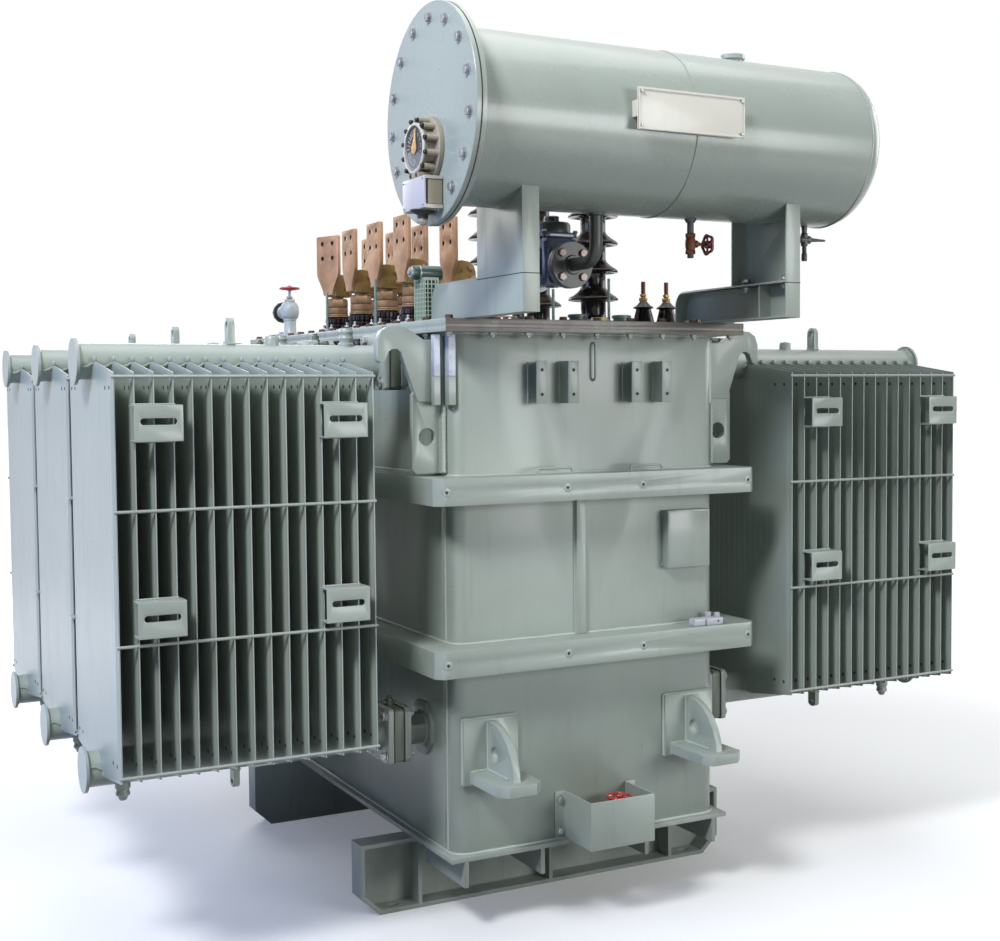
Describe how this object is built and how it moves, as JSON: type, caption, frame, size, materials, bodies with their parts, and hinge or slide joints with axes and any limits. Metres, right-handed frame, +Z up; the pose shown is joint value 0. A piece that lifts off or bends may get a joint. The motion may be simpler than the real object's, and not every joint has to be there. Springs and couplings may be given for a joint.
{
  "type": "power transformer",
  "caption": "Oil-filled power transformer with a banded tank, side radiators, conservator with level gauge, gas relay, bushings and handwheel valves.",
  "frame": {"origin": "centre of the bounding box on the floor, under the base beams' undersides", "axes": "+X runs along the front face towards the right radiators, +Y from the front face to the back, +Z up"},
  "size_m": [2.65, 2.2397, 2.3438],
  "materials": {
    "paint": "gloss grey-green paint",
    "red_paint": "gloss red paint",
    "beige_paint": "satin beige paint",
    "cream_paint": "matt cream paint",
    "relay_paint": "satin blue-grey paint",
    "brass": "dull brass",
    "dark_metal": "dark grey primer",
    "seal": "black cork-rubber sheet",
    "porcelain": "brown-black glazed porcelain"
  },
  "bodies": {
    "root": {"base_beam_front": "paint", "base_beam_rear": "paint", "tank_bottom": "paint", "front_wall": "paint", "rear_wall": "paint", "left_wall": "paint", "right_wall": "paint", "tank_rim": "paint", "cover_gasket": "seal", "cover": "paint", "upper_band": "paint", "lower_band": "paint", "lifting_hook_front_left": "paint", "lifting_hook_front_right": "paint", "lifting_hook_rear_left": "paint", "lifting_hook_rear_right": "paint", "jacking_lug_front_left": "paint", "jacking_lug_front_right": "paint", "jacking_lug_rear_left": "paint", "jacking_lug_rear_right": "paint", "drain_valve": "brass", "valve_guard": "paint", "rating_plate_holder": "paint", "radiator_front_left": "paint", "radiator_front_right": "paint", "radiator_middle_left": "paint", "radiator_middle_right": "paint", "radiator_rear_left": "paint", "radiator_rear_right": "paint", "conservator_shell": "paint", "conservator_cover": "paint", "conservator_support_left": "paint", "conservator_support_right": "paint", "level_gauge": "beige_paint", "name_board": "cream_paint", "conservator_drain_valve": "brass", "conservator_cock": "dark_metal", "relay_pipe_front": "dark_metal", "gas_relay": "relay_paint", "relay_pipe_rear": "dark_metal", "hv_bushing_1": "porcelain", "hv_bushing_2": "porcelain", "hv_bushing_3": "porcelain", "small_bushings": "porcelain", "lv_bushings_outer": "porcelain", "lv_bushings_inner": "porcelain", "lv_terminal_outer_1": "brass", "lv_terminal_outer_2": "brass", "lv_terminal_outer_3": "brass", "lv_terminal_outer_4": "brass", "lv_terminal_inner_1": "brass", "lv_terminal_inner_2": "brass", "lv_terminal_inner_3": "brass", "lv_terminal_inner_4": "brass", "cover_valve": "paint", "meter_box": "paint"},
    "drain_wheel": {"drain_handwheel": "red_paint"},
    "conservator_wheel": {"conservator_handwheel": "red_paint"},
    "cover_wheel": {"cover_handwheel": "red_paint"}
  },
  "joints": [
    {"name": "drain_turn", "type": "hinge", "parent": "root", "child": "drain_wheel", "pos_m": [0.04, -0.6699, 0.328], "axis": [0, 0, 1], "continuous": true},
    {"name": "conservator_turn", "type": "hinge", "parent": "root", "child": "conservator_wheel", "pos_m": [0.201, -0.8635, 1.81698], "axis": [1, 0, 0], "continuous": true},
    {"name": "cover_turn", "type": "hinge", "parent": "root", "child": "cover_wheel", "pos_m": [-0.4, 0.7465, 1.7904], "axis": [0, 0, 1], "continuous": true}
  ]
}
